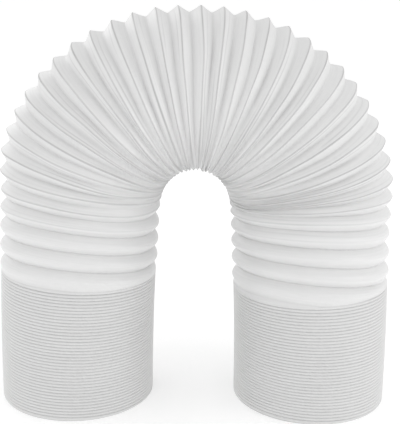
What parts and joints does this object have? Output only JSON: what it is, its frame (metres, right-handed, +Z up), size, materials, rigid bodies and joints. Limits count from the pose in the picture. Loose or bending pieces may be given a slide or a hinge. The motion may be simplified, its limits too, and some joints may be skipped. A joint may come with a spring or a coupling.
{
  "type": "air conditioner exhaust hose",
  "caption": "Pleated plastic exhaust duct hose, bent into an upside-down U and standing on its two pushed-together ends.",
  "frame": {"origin": "on the floor, midway between the centres of the hose's two end rims", "axes": "+Z up, +X from the taller pushed-together end to the shorter one, +Y from the front of the hose to its back"},
  "size_m": [0.382, 0.1518, 0.3784],
  "materials": {
    "hose": "satin"
  },
  "bodies": {
    "root": {"pleated_hose": "hose"}
  },
  "joints": []
}
